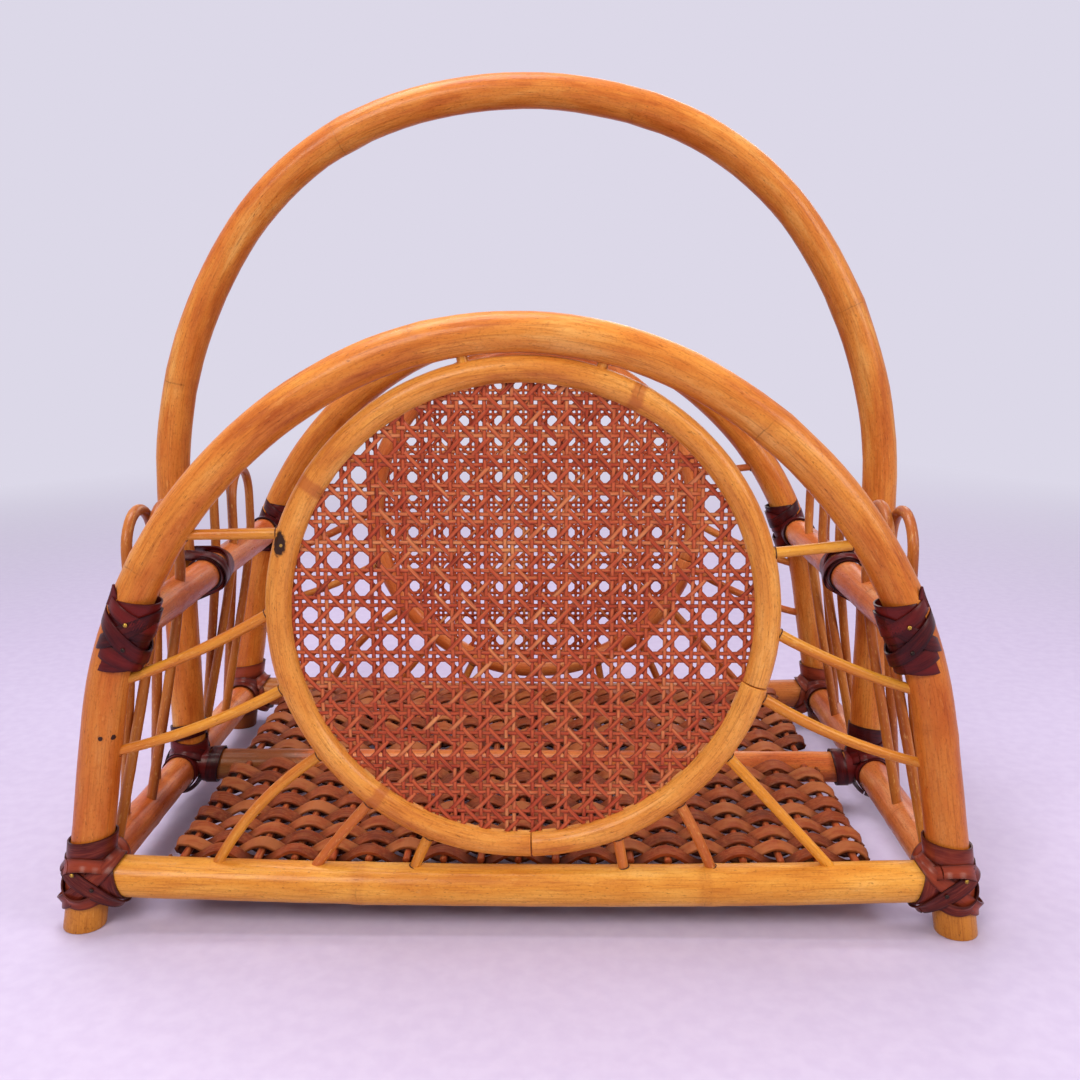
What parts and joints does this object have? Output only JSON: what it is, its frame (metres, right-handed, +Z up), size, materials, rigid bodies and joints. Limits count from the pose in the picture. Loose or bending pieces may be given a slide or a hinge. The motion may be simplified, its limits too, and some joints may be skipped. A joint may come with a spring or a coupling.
{
  "type": "magazine basket",
  "caption": "Open rattan magazine basket: bent arches with round cane-webbing panels on spokes, a woven floor, side canes and a tall fixed carry handle.",
  "frame": {"origin": "on the floor, under the middle of the basket's bounding box", "axes": "+Z up; +X along the arches, to the right of someone who faces the front; +Y from the front arch to the rear arch"},
  "size_m": [0.4596, 0.3122, 0.4363],
  "materials": {
    "pole": "honey varnish, satin gloss",
    "cane": "pale peeled cane, satin varnish",
    "webbing": "stained cane strands, low gloss",
    "weave": "stained flat reed, low gloss",
    "binding": "dark maroon glossy binding cane"
  },
  "bodies": {
    "root": {"front_arch": "pole", "rear_arch": "pole", "front_base_rail": "pole", "rear_base_rail": "pole", "left_base_rail": "pole", "right_base_rail": "pole", "left_shoulder_rail": "pole", "right_shoulder_rail": "pole", "middle_base_rail": "pole", "carry_handle": "pole", "left_front_outer_hairpin": "cane", "left_front_inner_hairpin": "cane", "left_rear_outer_hairpin": "cane", "left_rear_inner_hairpin": "cane", "right_front_outer_hairpin": "cane", "right_front_inner_hairpin": "cane", "right_rear_outer_hairpin": "cane", "right_rear_inner_hairpin": "cane", "front_ring": "pole", "front_webbing": "webbing", "front_upper_left_spoke": "cane", "front_middle_left_spoke": "cane", "front_lower_left_spoke": "cane", "front_lower_right_spoke": "cane", "front_middle_right_spoke": "cane", "front_upper_right_spoke": "cane", "front_base_left_spoke": "cane", "front_base_mid_left_spoke": "cane", "front_base_inner_left_spoke": "cane", "front_base_inner_right_spoke": "cane", "front_base_mid_right_spoke": "cane", "front_base_right_spoke": "cane", "rear_ring": "pole", "rear_webbing": "webbing", "rear_upper_left_spoke": "cane", "rear_middle_left_spoke": "cane", "rear_lower_left_spoke": "cane", "rear_lower_right_spoke": "cane", "rear_middle_right_spoke": "cane", "rear_upper_right_spoke": "cane", "rear_base_left_spoke": "cane", "rear_base_mid_left_spoke": "cane", "rear_base_inner_left_spoke": "cane", "rear_base_inner_right_spoke": "cane", "rear_base_mid_right_spoke": "cane", "rear_base_right_spoke": "cane", "front_floor_weave": "weave", "rear_floor_weave": "weave", "front_left_shoulder_lashing": "binding", "front_left_corner_lashing": "binding", "rear_left_shoulder_lashing": "binding", "rear_left_corner_lashing": "binding", "left_handle_lashing": "binding", "left_handle_foot_lashing": "binding", "front_right_shoulder_lashing": "binding", "front_right_corner_lashing": "binding", "rear_right_shoulder_lashing": "binding", "rear_right_corner_lashing": "binding", "right_handle_lashing": "binding", "right_handle_foot_lashing": "binding"}
  },
  "joints": []
}
